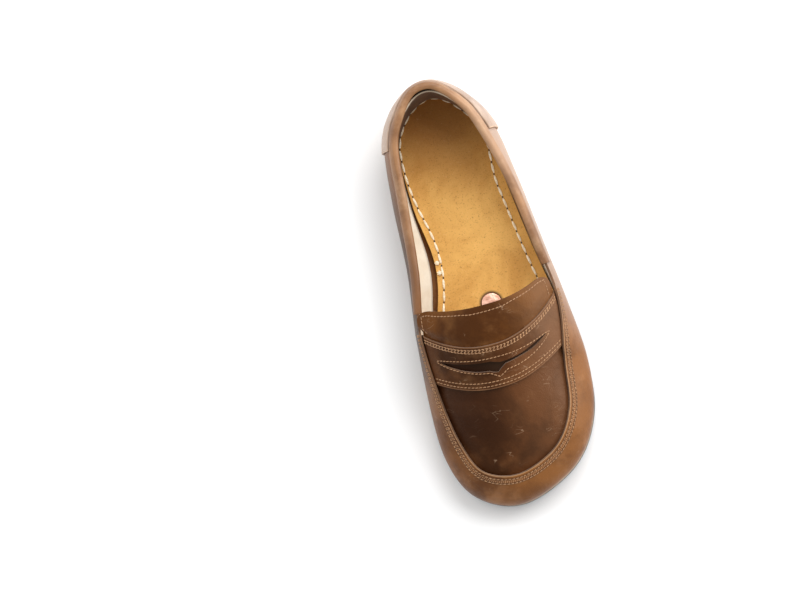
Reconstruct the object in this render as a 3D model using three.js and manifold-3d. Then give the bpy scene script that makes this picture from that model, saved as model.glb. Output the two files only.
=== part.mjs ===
// A handmade penny loafer for the left foot, in millimetres: +Z up, toe towards -Y, big toe side towards -X.
// It is a flat-soled slip-on: a one-piece wall round toe and sides, an inset apron, a slotted saddle strap,
// a tongue that lifts, a rolled topline binding and a hand-sewn leather insole with a copper rivet through it.
import * as THREE from 'three';
import { mergeVertices } from 'three/addons/utils/BufferGeometryUtils.js';
import Module from 'manifold-3d';

const wasm = await Module();
wasm.setup();

// ---- driving dimensions ----
const shoeLength = 264; // feather edge to feather edge, before the sole's margin
const ballWidth = 99; // across the wall at the ball of the foot
const upperHeight = 58; // topline at the back of the heel
const toeSpring = 3.5; // how far the toe of the sole lifts off the ground
const springStart = -45; // the sole is flat behind this line across the ball
const seamGap = 0.3; // between two layers that are glued or sewn together
const lapGap = 0.6; // between the wall and what is tucked under its edge

const outsoleThickness = 2.5;
const midsoleThickness = 2.5;
const insoleThickness = 2.5;
const soleMargin = 2; // the sole stands this far outside the feather edge
const lastingMargin = 13; // how far the upper is turned in under the insole
const insoleClearance = 1.4;

const wallLeather = 1.6;
const apronLeather = 1.5;
const strapLeather = 1.5;
const tongueLeather = 1.5;
const capLeather = 1.4;
const bindingLeather = 1.1;
const liningLeather = 0.9;
const gripLeather = 1;
const stiffener = 1.2; // heel counter and toe puff

const seamLap = 8; // the wall laps over the apron and strap by this much
const instepCrown = 32; // rise of the top surface over the full ball width, at the tongue
const toeCrown = 20; // the same at the toe
const strapDepth = 25; // heel-to-toe depth of the saddle strap at its middle
const strapBack = -33.5; // back edge of the strap at its middle
// how far the ends of the strap's edges reach back from its middle, on the big-toe side and the little-toe side
const backSweepIn = 17.5;
const backSweepOut = 27;
const frontSweepIn = 15;
const frontSweepOut = 21.5;
const tongueLength = 22.5; // tongue showing behind the strap at its middle
const tongueEndIn = 14.5; // and at its ends
const tongueEndOut = 6.5;
const tongueFlare = 3.2; // how much the tongue's corners stand up
const bindingOutside = 4.5;
const bindingInside = 5;
const bindingEndIn = -7; // the binding stops here, under the tongue's corners
const bindingEndOut = 2;
const capReachIn = 91; // the heel cap runs forward to these lines
const capReachOut = 88;
const gripReach = 80;
const counterReach = 70;
const puffReach = -96; // the toe puff runs back to this line
const gripDrop = 9; // heel grip's top edge, below the topline

const slotWidth = 66; // penny slot, from end to end
const slotDepth = 6.4; // front to back at its middle
const slotNotch = 3; // the point in the middle of its front edge
const rivetX = 3;
const rivetY = -10.2;
const rivetHead = 6;
const rivetPost = 2;
const rivetHeadThickness = 0.9;
const runningFit = 0.3;
const insoleSeam = 4; // stitch line, in from the insole's edge
const insoleThread = 0.55; // radius of the hand-sewn thread
const fineThread = 0.35; // radius of the machine-sewn thread
const seamInset = 3; // machine stitching, in from a cut edge

// ---- the last: stations round the foot, from the back of the heel down the outer side to the toe and back ----
// feather x, y is where the upper meets the sole; rim x, y, z is the topline or the edge under the moc seam;
// belly is how far the wall bulges beyond the feather edge; roll is 0 on an upright wall and 1 where it rolls over.
const drawnLength = 264;
const drawnWidth = 99;
const drawnHeight = 58;
const stations = [
  { feather: [4.5, 122.1], rim: [5.5, 122.5, 58], belly: 3.4, roll: 0 },
  { feather: [17.6, 112.2], rim: [19.3, 108.3, 57], belly: 3.6, roll: 0 },
  { feather: [29.3, 92], rim: [26.6, 91, 53], belly: 3.8, roll: 0 },
  { feather: [33.8, 56], rim: [35.2, 56, 46], belly: 5.2, roll: 0 },
  { feather: [38.8, 16], rim: [40.3, 16, 42], belly: 4.6, roll: 0 },
  { feather: [45, -22], rim: [44, -21, 37.5], belly: 2.8, roll: 0.55 },
  { feather: [47.5, -58], rim: [37.2, -58, 30.5], belly: 2.2, roll: 1 },
  { feather: [42.5, -91], rim: [32, -86, 27.5], belly: 1.6, roll: 1 },
  { feather: [24.5, -116.5], rim: [17.5, -106, 26.8], belly: 1.6, roll: 1 },
  { feather: [-9, -130], rim: [-7, -115.3, 26.5], belly: 1.5, roll: 1 },
  { feather: [-34.8, -120], rim: [-27.5, -109, 26.7], belly: 1.6, roll: 1 },
  { feather: [-46.3, -96], rim: [-36.8, -90, 27.3], belly: 1.6, roll: 1 },
  { feather: [-47.5, -61], rim: [-41.5, -61, 30], belly: 1.8, roll: 1 },
  { feather: [-38.5, -20], rim: [-43, -20, 37.5], belly: 7.2, roll: 0.55 },
  { feather: [-28.7, 18], rim: [-36, 18, 42.5], belly: 11.8, roll: 0 },
  { feather: [-30.5, 60], rim: [-31.3, 60, 47], belly: 8, roll: 0 },
  { feather: [-30, 93.8], rim: [-27.6, 93, 53.5], belly: 4.4, roll: 0 },
  { feather: [-21.3, 111.6], rim: [-19.2, 110.3, 57.2], belly: 3.8, roll: 0 },
  { feather: [-8.3, 121.4], rim: [-8.2, 122.4, 58], belly: 3.4, roll: 0 },
];
const grade = { x: ballWidth / drawnWidth, y: shoeLength / drawnLength, z: upperHeight / drawnHeight };

const mix = (a, b, s) => a + (b - a) * s;
const clamp01 = (s) => Math.min(1, Math.max(0, s));
const smooth = (from, to, s) => {
  const u = clamp01((s - from) / (to - from));
  return u * u * (3 - 2 * u);
};
const vec = (x, y, z) => new THREE.Vector3(x, y, z);

// A value that runs smoothly through the stations; t goes once round from 0 to 1.
function around(pick) {
  const values = stations.map(pick);
  const count = values.length;
  return (t) => {
    const place = (t - Math.floor(t)) * count;
    const i = Math.floor(place);
    const u = place - i;
    const [a, b, c, d] = [-1, 0, 1, 2].map((step) => values[(i + step + count) % count]);
    return b + 0.5 * u * (c - a + u * (2 * a - 5 * b + 4 * c - d + u * (3 * (b - c) + d - a)));
  };
}
const featherX = around((s) => s.feather[0] * grade.x);
const featherY = around((s) => s.feather[1] * grade.y);
const rimX = around((s) => s.rim[0] * grade.x);
const rimY = around((s) => s.rim[1] * grade.y);
const edgeZ = around((s) => s.rim[2] * grade.z);
const bellyOut = around((s) => s.belly);
const rolling = around((s) => s.roll);

function outward(t) {
  const step = 1e-4;
  const dx = featherX(t + step) - featherX(t - step);
  const dy = featherY(t + step) - featherY(t - step);
  return vec(-dy, dx, 0).normalize();
}

// ---- the top surface, under the apron's upper face, over x and y ----
const toeT = (() => {
  let best = 0.5;
  for (let t = 0.4; t < 0.6; t += 0.0005) if (rimY(t) < rimY(best)) best = t;
  return best;
})();
const toeEdgeY = rimY(toeT);

// The place on the rim, on the outer (1) or inner (-1) side, that lies at y.
function rimAt(side, y) {
  let heel = side > 0 ? 0 : 1;
  let toe = toeT;
  for (let i = 0; i < 26; i++) {
    const middle = (heel + toe) / 2;
    if (rimY(middle) > y) heel = middle;
    else toe = middle;
  }
  return (heel + toe) / 2;
}
const edgeCache = new Map();
function edgesAt(y) {
  const key = Math.round(y * 1e4);
  if (!edgeCache.has(key)) {
    const inner = rimAt(-1, y);
    const outer = rimAt(1, y);
    edgeCache.set(key, { xIn: rimX(inner), xOut: rimX(outer), zIn: edgeZ(inner), zOut: edgeZ(outer) });
  }
  return edgeCache.get(key);
}
function topZ(x, y) {
  const e = edgesAt(Math.max(y, toeEdgeY + 1e-3));
  const share = clamp01((x - e.xIn) / Math.max(e.xOut - e.xIn, 1e-6));
  const crown = mix(toeCrown, instepCrown, clamp01((y - toeEdgeY) / (strapBack - toeEdgeY)));
  return mix(e.zIn, e.zOut, share) + (crown / (ballWidth / 2) ** 2) * (e.xOut - x) * (x - e.xIn);
}
function topSlope(x, y) {
  const step = 0.5;
  return Math.hypot(topZ(x + step, y) - topZ(x - step, y), topZ(x, y + step) - topZ(x, y - step)) / (2 * step);
}
// A point a given thickness above the top surface, measured square to it.
const onTop = (x, y, up) => vec(x, y, topZ(x, y) + up * Math.hypot(1, topSlope(x, y)));

// ---- the wall: from the feather edge up to its rim ----
const flangeZ = outsoleThickness + midsoleThickness + 2 * seamGap;
const strapFront = strapBack - strapDepth;
const strapEdge = (q, middle, sweep) => middle + sweep * Math.abs(q) ** 2.2;
const backEdge = (q) => strapEdge(q, strapBack, q < 0 ? backSweepIn : backSweepOut);
const frontEdge = (q) => strapEdge(q, strapFront, q < 0 ? frontSweepIn : frontSweepOut);
const sideOf = (t) => (rimX(t) < 0 ? -1 : 1);
const onSide = (t, inner, outer) => (sideOf(t) < 0 ? inner : outer);

function rimPoint(t) {
  const x = rimX(t);
  const y = rimY(t);
  const strapStart = backEdge(sideOf(t));
  const strapStop = frontEdge(sideOf(t));
  const front = 1 - smooth(strapStart - 1, strapStart + 5, y);
  const overStrap = smooth(strapStop - 10, strapStop - 3, y);
  const lift = front * (wallLeather + seamGap + overStrap * (strapLeather + seamGap));
  return vec(x, y, edgeZ(t) + lift * Math.hypot(1, edgeSlope(t)));
}
function edgeSlope(t) {
  const inset = 2;
  const n = outward(t);
  const y = rimY(t);
  if (y > 0) return 1;
  const rise = topZ(rimX(t) - n.x * inset, y - n.y * inset) - edgeZ(t);
  return Math.min(1.2, Math.max(0.3, rise / inset));
}
const beltCache = new Map();
function belt(t) {
  const key = Math.round(t * 1e7);
  if (beltCache.has(key)) return beltCache.get(key);
  const n = outward(t);
  const foot = vec(featherX(t), featherY(t), flangeZ);
  const rim = rimPoint(t);
  const belly = bellyOut(t);
  const roll = rolling(t);
  const height = rim.z - foot.z;
  const inset = rim.clone().sub(foot).dot(n);
  const upright = (8 * belly - inset) / 6;
  const over = 0.62 * (belly - inset);
  const high = mix(upright, inset + over, roll);
  const low = mix(upright, (belly - 0.239 * (inset + over) - 0.043 * inset) / 0.444, roll);
  const a = foot.clone().addScaledVector(n, low);
  a.z += height * mix(0.3, 0.42, roll);
  const b = rim.clone().addScaledVector(n, high - inset);
  b.z = mix(foot.z + height * 0.7, rim.z - over * edgeSlope(t), roll);
  const made = new THREE.CubicBezierCurve3(foot, a, b, rim);
  const found = { curve: made, length: made.getLength(), n };
  beltCache.set(key, found);
  return found;
}
const wallPoint = (t, v) => belt(t).curve.getPoint(v);
function wallNormal(t, v) {
  const step = 1e-3;
  const along = wallPoint(t + step, v).sub(wallPoint(t - step, v));
  const up = wallPoint(t, Math.min(1, v + step)).sub(wallPoint(t, v - step));
  return along.cross(up).normalize().negate();
}
// A point on the wall's outer face, or off it by a distance that is positive outwards.
const onWall = (t, v, off) => wallPoint(t, v).addScaledVector(wallNormal(t, v), off);
const shareOf = (t, distance) => distance / belt(t).length; // a length down the wall, as a share of v

// ---- solids from grids of points ----
function springUp(p) {
  const ahead = Math.max(0, springStart - p.y) / (springStart + shoeLength / 2);
  p.z += toeSpring * ahead * ahead;
  return p;
}
function geometryOf(points, faces) {
  const position = new Float32Array(points.flatMap((p) => springUp(p.clone()).toArray()));
  const geometry = new THREE.BufferGeometry();
  geometry.setAttribute('position', new THREE.BufferAttribute(position, 3));
  let volume = 0;
  for (const [a, b, c] of faces) volume += points[a].dot(points[b].clone().cross(points[c]));
  geometry.setIndex(faces.flatMap(([a, b, c]) => (volume > 0 ? [a, b, c] : [a, c, b])));
  return geometry;
}
// A sheet between two faces given as rows of points; a closed sheet joins its last row to its first.
function sheet(outer, inner, closed = false) {
  const rows = outer.length;
  const columns = outer[0].length;
  const points = [...outer.flat(), ...inner.flat()];
  const below = rows * columns;
  const faces = [];
  const quad = (a, b, c, d) => faces.push([a, b, c], [a, c, d]);
  const rowPairs = closed ? rows : rows - 1;
  for (let i = 0; i < rowPairs; i++) {
    const k = ((i + 1) % rows) * columns;
    const g = i * columns;
    for (let j = 0; j < columns - 1; j++) {
      quad(g + j, g + j + 1, k + j + 1, k + j);
      quad(below + g + j, below + k + j, below + k + j + 1, below + g + j + 1);
    }
    const last = columns - 1;
    quad(g, k, below + k, below + g);
    quad(g + last, below + g + last, below + k + last, k + last);
  }
  if (!closed) {
    const end = (rows - 1) * columns;
    for (let j = 0; j < columns - 1; j++) {
      quad(j, below + j, below + j + 1, j + 1);
      quad(end + j, end + j + 1, below + end + j + 1, below + end + j);
    }
  }
  return geometryOf(points, faces);
}
// A sheet made of rings round a middle point, from its outline inwards.
function disc(outer, inner, outerMiddle, innerMiddle) {
  const rings = outer.length;
  const count = outer[0].length;
  const points = [...outer.flat(), ...inner.flat(), outerMiddle, innerMiddle];
  const below = rings * count;
  const faces = [];
  for (let i = 0; i < count; i++) {
    const k = (i + 1) % count;
    for (let r = 0; r < rings - 1; r++) {
      const a = r * count;
      faces.push([a + i, a + k, a + count + k], [a + i, a + count + k, a + count + i]);
      faces.push([below + a + i, below + a + count + k, below + a + k]);
      faces.push([below + a + i, below + a + count + i, below + a + count + k]);
    }
    const last = (rings - 1) * count;
    faces.push([last + i, last + k, 2 * below], [below + last + k, below + last + i, 2 * below + 1]);
    faces.push([i, below + k, k], [i, below + i, below + k]);
  }
  return geometryOf(points, faces);
}
const spread = (from, to, count) => Array.from({ length: count }, (_, i) => mix(from, to, i / (count - 1)));

function asSolid(geometry) {
  const bare = geometry.clone();
  bare.deleteAttribute('normal');
  bare.deleteAttribute('uv');
  const merged = mergeVertices(bare, 1e-4);
  return new wasm.Manifold(
    new wasm.Mesh({
      numProp: 3,
      vertProperties: merged.attributes.position.array,
      triVerts: new Uint32Array(merged.index.array),
    }),
  );
}
function asGeometry(solid) {
  const mesh = solid.getMesh();
  const geometry = new THREE.BufferGeometry();
  geometry.setAttribute('position', new THREE.BufferAttribute(mesh.vertProperties, 3));
  geometry.setIndex(new THREE.BufferAttribute(mesh.triVerts, 1));
  return geometry;
}
const cut = (geometry, ...tools) =>
  asGeometry(tools.reduce((solid, tool) => solid.subtract(asSolid(tool)), asSolid(geometry)));

// ---- materials ----
const finish = (color, roughness, metalness = 0) => new THREE.MeshStandardMaterial({ color, roughness, metalness });
const tanLeather = finish(0x8a5a38, 0.5);
const darkLeather = finish(0x5b3a24, 0.45);
const capFinish = finish(0x94664a, 0.5);
const creamLeather = finish(0xe9dfcd, 0.8);
const gripFinish = finish(0xb08a55, 0.8);
const insoleFinish = finish(0xc4924f, 0.6);
const soleLeather = finish(0xb99765, 0.8);
const rubber = finish(0x1d1a18, 0.8);
const cork = finish(0x9a7148, 0.95);
const board = finish(0xd8cfbd, 0.95);
const copper = finish(0xe0a080, 0.35, 1);
const waxedThread = finish(0xf2e3c4, 0.7);
const brownThread = finish(0xb87a52, 0.6);

const shoe = new THREE.Group();
function add(name, geometry, material) {
  const mesh = new THREE.Mesh(geometry, material);
  mesh.name = name;
  shoe.add(mesh);
}

// ---- sole plates: rows across the shoe, inside the feather edge moved out by a margin ----
const outlineSteps = 720;
function outlineAt(margin) {
  const loop = spread(0, 1, outlineSteps + 1).map((t) => {
    const n = outward(t);
    return [featherX(t) + n.x * margin, featherY(t) + n.y * margin];
  });
  const ys = loop.map((p) => p[1]);
  const back = Math.max(...ys);
  const front = Math.min(...ys);
  const at = (y) => {
    const found = [];
    for (let i = 0; i < outlineSteps; i++) {
      const [p, q] = [loop[i], loop[i + 1]];
      if ((p[1] - y) * (q[1] - y) <= 0 && p[1] !== q[1]) found.push(mix(p[0], q[0], (y - p[1]) / (q[1] - p[1])));
    }
    return [Math.min(...found), Math.max(...found)];
  };
  return { back, front, at };
}
function plate(margin, bottom, top, rows = 30, columns = 3) {
  const outline = outlineAt(margin);
  const shy = 0.5; // the end rows stop this far short, so that they have a width
  const middle = (outline.back + outline.front) / 2;
  const half = (outline.back - outline.front) / 2 - shy;
  const ys = spread(0, Math.PI, rows).map((a) => middle + half * Math.cos(a));
  const face = (z) =>
    ys.map((y) => {
      const [left, right] = outline.at(y);
      return spread(left, right, columns).map((x) => vec(x, y, z));
    });
  return sheet(face(top), face(bottom));
}
function drill(radius, bottom, top) {
  const tool = new THREE.CylinderGeometry(radius, radius, top - bottom, 20);
  tool.rotateX(Math.PI / 2);
  tool.translate(rivetX, rivetY, (top + bottom) / 2);
  return tool;
}

const midsoleZ = outsoleThickness + seamGap;
const liningFlangeZ = flangeZ + wallLeather + 2 * seamGap;
const insoleZ = liningFlangeZ + liningLeather + seamGap;
const insoleTop = insoleZ + insoleThickness;
const burrThickness = 1;
const burrRadius = rivetHead - 0.5;
const insoleMargin = -(wallLeather + liningLeather + seamGap + insoleClearance);
const postHole = rivetPost + runningFit;

add(
  'outsole',
  cut(
    plate(soleMargin, 0, outsoleThickness),
    drill(postHole, -1, outsoleThickness + 1),
    drill(burrRadius + runningFit, -1, burrThickness + 2 * runningFit),
  ),
  rubber,
);
add('midsole', cut(plate(soleMargin - 0.3, midsoleZ, flangeZ - seamGap), drill(postHole, 0, flangeZ + 1)), soleLeather);
add(
  'cork_filler',
  cut(plate(-lastingMargin - 1, flangeZ, insoleZ - seamGap, 22), drill(postHole, 0, insoleZ + 1)),
  cork,
);
const headSeat = drill(rivetHead + runningFit, insoleTop - rivetHeadThickness, insoleTop + 1);
add('insole', cut(plate(insoleMargin, insoleZ, insoleTop, 34), drill(postHole, 0, insoleTop + 1), headSeat), insoleFinish);

// The rivet's head sits in the insole and its post runs down to the burr in the outsole.
const headTop = insoleTop + seamGap;
const headBottom = insoleTop - rivetHeadThickness + seamGap;
const postBottom = runningFit;
const rivetProfile = [
  [0, postBottom],
  [rivetPost, postBottom],
  [rivetPost, headBottom],
  [rivetHead, headBottom],
  [rivetHead * 0.8, headTop - 0.15],
  [0, headTop],
].map(([r, z]) => new THREE.Vector2(r, z));
const rivet = new THREE.LatheGeometry(rivetProfile, 20).rotateX(Math.PI / 2).translate(rivetX, rivetY, 0);
add('copper_rivet', asGeometry(asSolid(rivet)), copper);
const burrProfile = [
  [rivetPost + runningFit, postBottom],
  [burrRadius, postBottom],
  [burrRadius, postBottom + burrThickness],
  [rivetPost + runningFit, postBottom + burrThickness],
  [rivetPost + runningFit, postBottom],
].map(([r, z]) => new THREE.Vector2(r, z));
const burr = new THREE.LatheGeometry(burrProfile, 20).rotateX(Math.PI / 2).translate(rivetX, rivetY, 0);
add('rivet_burr', asGeometry(asSolid(burr)), copper);

// ---- wall, linings and stiffeners ----
const ringCount = 4 * Math.round(shoeLength / 20); // a longer shoe takes more uprights
const strapEnds = (t) => rimY(t) > strapFront && rimY(t) < 12; // finer steps here
const ringT = Array.from({ length: ringCount }, (_, i) => i / ringCount).flatMap((t) =>
  strapEnds(t) ? [t, t + 0.5 / ringCount] : [t],
);
const wallV = [0.06, 0.2, 0.36, 0.54, 0.72, 0.87, 1];

// One upright of the wall or its lining, from the inner end of its turned-in flange up to its top edge.
function upright(t, depth, pocket, top) {
  const n = outward(t);
  const foot = vec(featherX(t), featherY(t), flangeZ + depth);
  const end = foot.clone().addScaledVector(n, -lastingMargin);
  const corner = foot.addScaledVector(n, -depth);
  return [end, corner, ...wallV.map((v) => onWall(t, v * top, -depth - pocket * smooth(0, 0.2, v) * smooth(0.87, 0.72, v)))];
}
const wallAt = (depth) => ringT.map((t) => upright(t, depth, 0, 1));
add('vamp_quarters', sheet(wallAt(0), wallAt(wallLeather), true), tanLeather);

// The counter and the puff lie in a pocket between wall and lining.
const backArc = (reach, reachOut = reach) =>
  ringT
    .map((t) => (t > 0.5 ? t - 1 : t))
    .filter((t) => rimY(t) > onSide(t, reach, reachOut))
    .sort((a, b) => a - b);
const frontArc = (reach) => ringT.filter((t) => rimY(t) < reach);
const pocketDeep = stiffener + seamGap;
const pocketAt = (t) =>
  pocketDeep * Math.max(smooth(counterReach - 24, counterReach - 4, rimY(t)), smooth(puffReach + 22, puffReach + 6, rimY(t)));
const liningDepth = wallLeather + 2 * seamGap;
const liningTop = (t) => {
  const strapStart = backEdge(sideOf(t));
  return 1 - smooth(strapStart + 11, strapStart + 3, rimY(t)) * shareOf(t, seamLap + 3);
};
const liningAt = (depth) => ringT.map((t) => upright(t, depth, pocketAt(t), liningTop(t)));
add('quarter_lining', sheet(liningAt(liningDepth), liningAt(liningDepth + liningLeather), true), creamLeather);

function wallPatch(ts, vs, outerOff, innerOff) {
  const face = (off) => ts.map((t) => vs(t).map((v) => onWall(t, v, off)));
  return sheet(face(outerOff), face(innerOff));
}
const counterV = [0.24, 0.36, 0.48, 0.6, 0.7];
add(
  'heel_counter',
  wallPatch(backArc(counterReach), () => counterV, -liningDepth, -liningDepth - stiffener),
  board,
);
add(
  'toe_puff',
  wallPatch(
    frontArc(puffReach),
    (t) => spread(0.26, 0.74 * liningTop(t), 4),
    -liningDepth,
    -liningDepth - stiffener,
  ),
  board,
);
const gripOff = liningDepth + pocketDeep + liningLeather + seamGap;
add(
  'heel_grip',
  wallPatch(
    backArc(gripReach),
    (t) => spread(0.24, 1 - shareOf(t, gripDrop), 5),
    -gripOff,
    -gripOff - gripLeather,
  ),
  gripFinish,
);
add(
  'heel_cap',
  wallPatch(
    backArc(capReachIn, capReachOut),
    (t) => spread(0.03, 1 - shareOf(t, bindingOutside + 2 * seamGap), 7),
    seamGap + capLeather,
    seamGap,
  ),
  capFinish,
);

// ---- binding: a U of leather over the topline ----
const rimThickness = liningDepth + liningLeather;
function bindingSection(t) {
  const up = wallPoint(t, 1).sub(wallPoint(t, 0.97)).normalize();
  const down = (drop, off) => onWall(t, 1 - shareOf(t, drop), off);
  const crest = (off, high) => onWall(t, 1, off).addScaledVector(up, high);
  const skin = seamGap + bindingLeather;
  const inside = -rimThickness - 2 * seamGap;
  return {
    outer: [
      down(bindingOutside, skin),
      down(bindingOutside / 2, skin),
      down(0, skin),
      crest(seamGap, skin),
      crest(inside, skin),
      down(0, inside - bindingLeather),
      down(bindingInside, inside - bindingLeather),
    ],
    inner: [
      down(bindingOutside, seamGap),
      down(bindingOutside / 2, seamGap),
      down(0.2, seamGap),
      crest(0, seamGap),
      crest(inside + seamGap, seamGap),
      down(0.2, inside),
      down(bindingInside, inside),
    ],
  };
}
const bindingArc = backArc(bindingEndIn, bindingEndOut).map(bindingSection);
add('topline_binding', sheet(bindingArc.map((s) => s.outer), bindingArc.map((s) => s.inner)), capFinish);

// ---- apron and its lining, inside the seam and lapped under the wall ----
const across = (q, y) => {
  const e = edgesAt(y);
  return mix(e.xIn, e.xOut, (q + 1) / 2);
};
const sheetBack = 2.5; // apron and lining stop this far under the strap's back edge
const sheetSide = 0.86; // and this share of the way out, under the strap's ends

function topSheet(under, thickness) {
  const seam = ringT.filter((t) => rimY(t) < frontEdge(sideOf(t)) - 9);
  const insetPoint = (q, y) => [across(q, y), y];
  const back = [
    insetPoint(-sheetSide, frontEdge(-1) - 5),
    ...spread(-sheetSide, sheetSide, 11).map((q) => insetPoint(q, backEdge(q) - sheetBack)),
    insetPoint(sheetSide, frontEdge(1) - 5),
  ];
  const middle = [0, (toeEdgeY + strapBack) / 2];
  const seamPlan = seam.map((t) => [rimX(t), rimY(t)]);
  const towards = (r) => ([x, y]) => [mix(middle[0], x, r), mix(middle[1], y, r)];
  const face = (depth) => {
    const lapped = [seamLap, seamLap * 0.5].map((far) => [
      ...seam.map((t) => onWall(t, 1 - shareOf(t, far), -(wallLeather + lapGap + depth))),
      ...back.map(towards(1 + far * 0.004)).map(([x, y]) => onTop(x, y, -depth)),
    ]);
    const plain = [0.965, 0.8, 0.55, 0.28].map((r) =>
      [...seamPlan, ...back].map(towards(r)).map(([x, y]) => onTop(x, y, -depth)),
    );
    return [...lapped, ...plain];
  };
  return disc(face(under), face(under + thickness), onTop(...middle, -under), onTop(...middle, -under - thickness));
}
add('apron', topSheet(0, apronLeather), darkLeather);
add('vamp_lining', topSheet(apronLeather + lapGap, liningLeather), creamLeather);

// ---- saddle strap, its ends lapped under the wall ----
function strapFace(up, rows) {
  const tuck = [seamLap - 1.5, seamLap * 0.4];
  const lapOff = wallLeather + lapGap + seamGap + (strapLeather + seamGap - up);
  const end = (side, r, far) => {
    const y = mix(frontEdge(side), backEdge(side), r);
    const t = rimAt(side, y);
    return onWall(t, 1 - shareOf(t, far), -lapOff);
  };
  return rows.map((r) => [
    ...tuck.map((far) => end(-1, r, far)),
    ...spread(-0.93, 0.93, 25).map((q) => {
      const y = mix(frontEdge(q), backEdge(q), r);
      return onTop(across(q, y), y, up);
    }),
    ...[...tuck].reverse().map((far) => end(1, r, far)),
  ]);
}
const strapRows = spread(0, 1, 6);
const strapTop = seamGap + strapLeather;
const slotMiddle = 0.53; // the slot's place between the strap's front and back edges
const slotAside = -2; // and how far it lies off the middle, towards the big-toe side
function slotOutline(grow) {
  // Seen from above: a smooth back edge and a front edge that comes to a point in the middle.
  const ends = slotWidth / 2 + grow;
  const points = [];
  const at = (away, share) => {
    const x = away + slotAside;
    const q = x / (ballWidth * 0.43);
    return [x, mix(frontEdge(q), backEdge(q), slotMiddle) + share];
  };
  for (const a of spread(-1, 1, 15)) points.push(at(a * ends, (slotDepth / 2 + grow) * (1 - a * a) ** 0.6));
  for (const a of spread(1, -1, 17).slice(1, -1)) {
    const notch = slotNotch * Math.max(0, 1 - Math.abs(a) / 0.16);
    points.push(at(a * ends, -(slotDepth / 2 + grow) * (1 - a * a) ** 0.6 - notch));
  }
  return points;
}
const slotShape = new THREE.Shape(slotOutline(0).map(([x, y]) => new THREE.Vector2(x, y)));
const slotTool = new THREE.ExtrudeGeometry(slotShape, { depth: 100, bevelEnabled: false });
add('saddle_strap', cut(sheet(strapFace(strapTop, strapRows), strapFace(seamGap, strapRows)), slotTool), darkLeather);

// ---- tongue: hinges up about the strap's back edge ----
const hingeGap = 0.8;
const tongueWaist = 0.9; // the tongue's width where it leaves the strap, as a share of the width between the rims
function tonguePoint(q, r, up) {
  const front = backEdge(q * tongueWaist) + hingeGap;
  const back = backEdge(q) + mix(tongueLength, q < 0 ? tongueEndIn : tongueEndOut, Math.abs(q) ** 2.2);
  const y = mix(front, back, r);
  const narrow = mix(tongueWaist, q < 0 ? 1 : 0.94, smooth(0.3, 0.7, r));
  const x = across(q * narrow, y);
  const p = onTop(x, y, up);
  p.z += tongueFlare * q * q * smooth(0, 0.8, r);
  return p;
}
const cornerCut = (q) => 1 - 0.28 * smooth(0.86, 1, Math.abs(q));
const tongueFace = (up, inset = 0) =>
  spread(-1 + inset, 1 - inset, 19).map((q) => spread(0, cornerCut(q) - inset, 5).map((r) => tonguePoint(q, r, up)));
const tongueTop = 0.6;
add('tongue', sheet(tongueFace(tongueTop), tongueFace(tongueTop - tongueLeather)), darkLeather);
const tongueLiningTop = tongueTop - tongueLeather - seamGap;
add(
  'tongue_lining',
  sheet(tongueFace(tongueLiningTop, 0.02), tongueFace(tongueLiningTop - liningLeather, 0.02)),
  creamLeather,
);

// ---- threads ----
function thread(points, radius, steps, sides = 6) {
  const section = new THREE.Shape(
    spread(0, 2 * Math.PI, sides + 1)
      .slice(0, -1)
      .map((a) => new THREE.Vector2(radius * Math.cos(a), radius * Math.sin(a))),
  );
  const path = new THREE.CatmullRomCurve3(points.map((p) => springUp(p.clone())));
  return new THREE.ExtrudeGeometry(section, { steps, extrudePath: path, bevelEnabled: false });
}
const insoleLoop = spread(0.74, 1.735, 48).map((t) => {
  const n = outward(t);
  const margin = insoleMargin - insoleSeam;
  const z = insoleTop + seamGap + insoleThread;
  return vec(featherX(t) + n.x * margin, featherY(t) + n.y * margin, z);
});
add('insole_stitching', thread(insoleLoop, insoleThread, 64, 5), waxedThread);

const seamArc = ringT.filter((t) => rimY(t) < backEdge(sideOf(t)) + 2);
const mocLoop = seamArc.map((t) => onWall(t, 1 - shareOf(t, seamInset), seamGap + fineThread));
add('moc_seam_stitching', thread(mocLoop, fineThread, 60, 5), brownThread);

const strapLine = (inset) =>
  spread(-0.93, 0.93, 19).map((q) => {
    const front = frontEdge(q);
    const back = backEdge(q);
    const y = inset > 0 ? front + inset : back + inset;
    return onTop(across(q, y), y, strapTop + seamGap + fineThread);
  });
add('strap_front_stitching', thread(strapLine(seamInset), fineThread, 30, 5), brownThread);
add('strap_rear_stitching', thread(strapLine(-seamInset), fineThread, 30, 5), brownThread);
const slotLoop = slotOutline(1.6).slice(1);
add(
  'slot_stitching',
  thread(slotLoop.map(([x, y]) => onTop(x, y, strapTop + seamGap + fineThread)), fineThread, 46, 5),
  brownThread,
);
const tongueUp = tongueTop + seamGap + fineThread;
const tongueLoop = [
  ...spread(0.15, 0.55, 4).map((r) => tonguePoint(-0.93, r, tongueUp)),
  ...spread(-0.86, 0.86, 15).map((q) => tonguePoint(q, 0.86 * cornerCut(q), tongueUp)),
  ...spread(0.55, 0.15, 4).map((r) => tonguePoint(0.93, r, tongueUp)),
];
add('tongue_stitching', thread(tongueLoop, fineThread, 40, 5), brownThread);

// The origin is on the ground, in the middle of the shoe's length and width.
const box = new THREE.Box3().setFromObject(shoe);
const centre = box.getCenter(new THREE.Vector3());
shoe.position.set(-centre.x, -centre.y, 0);

export default shoe;
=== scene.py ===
import math

import bpy
import numpy as np
from mathutils import Matrix, Vector


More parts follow.
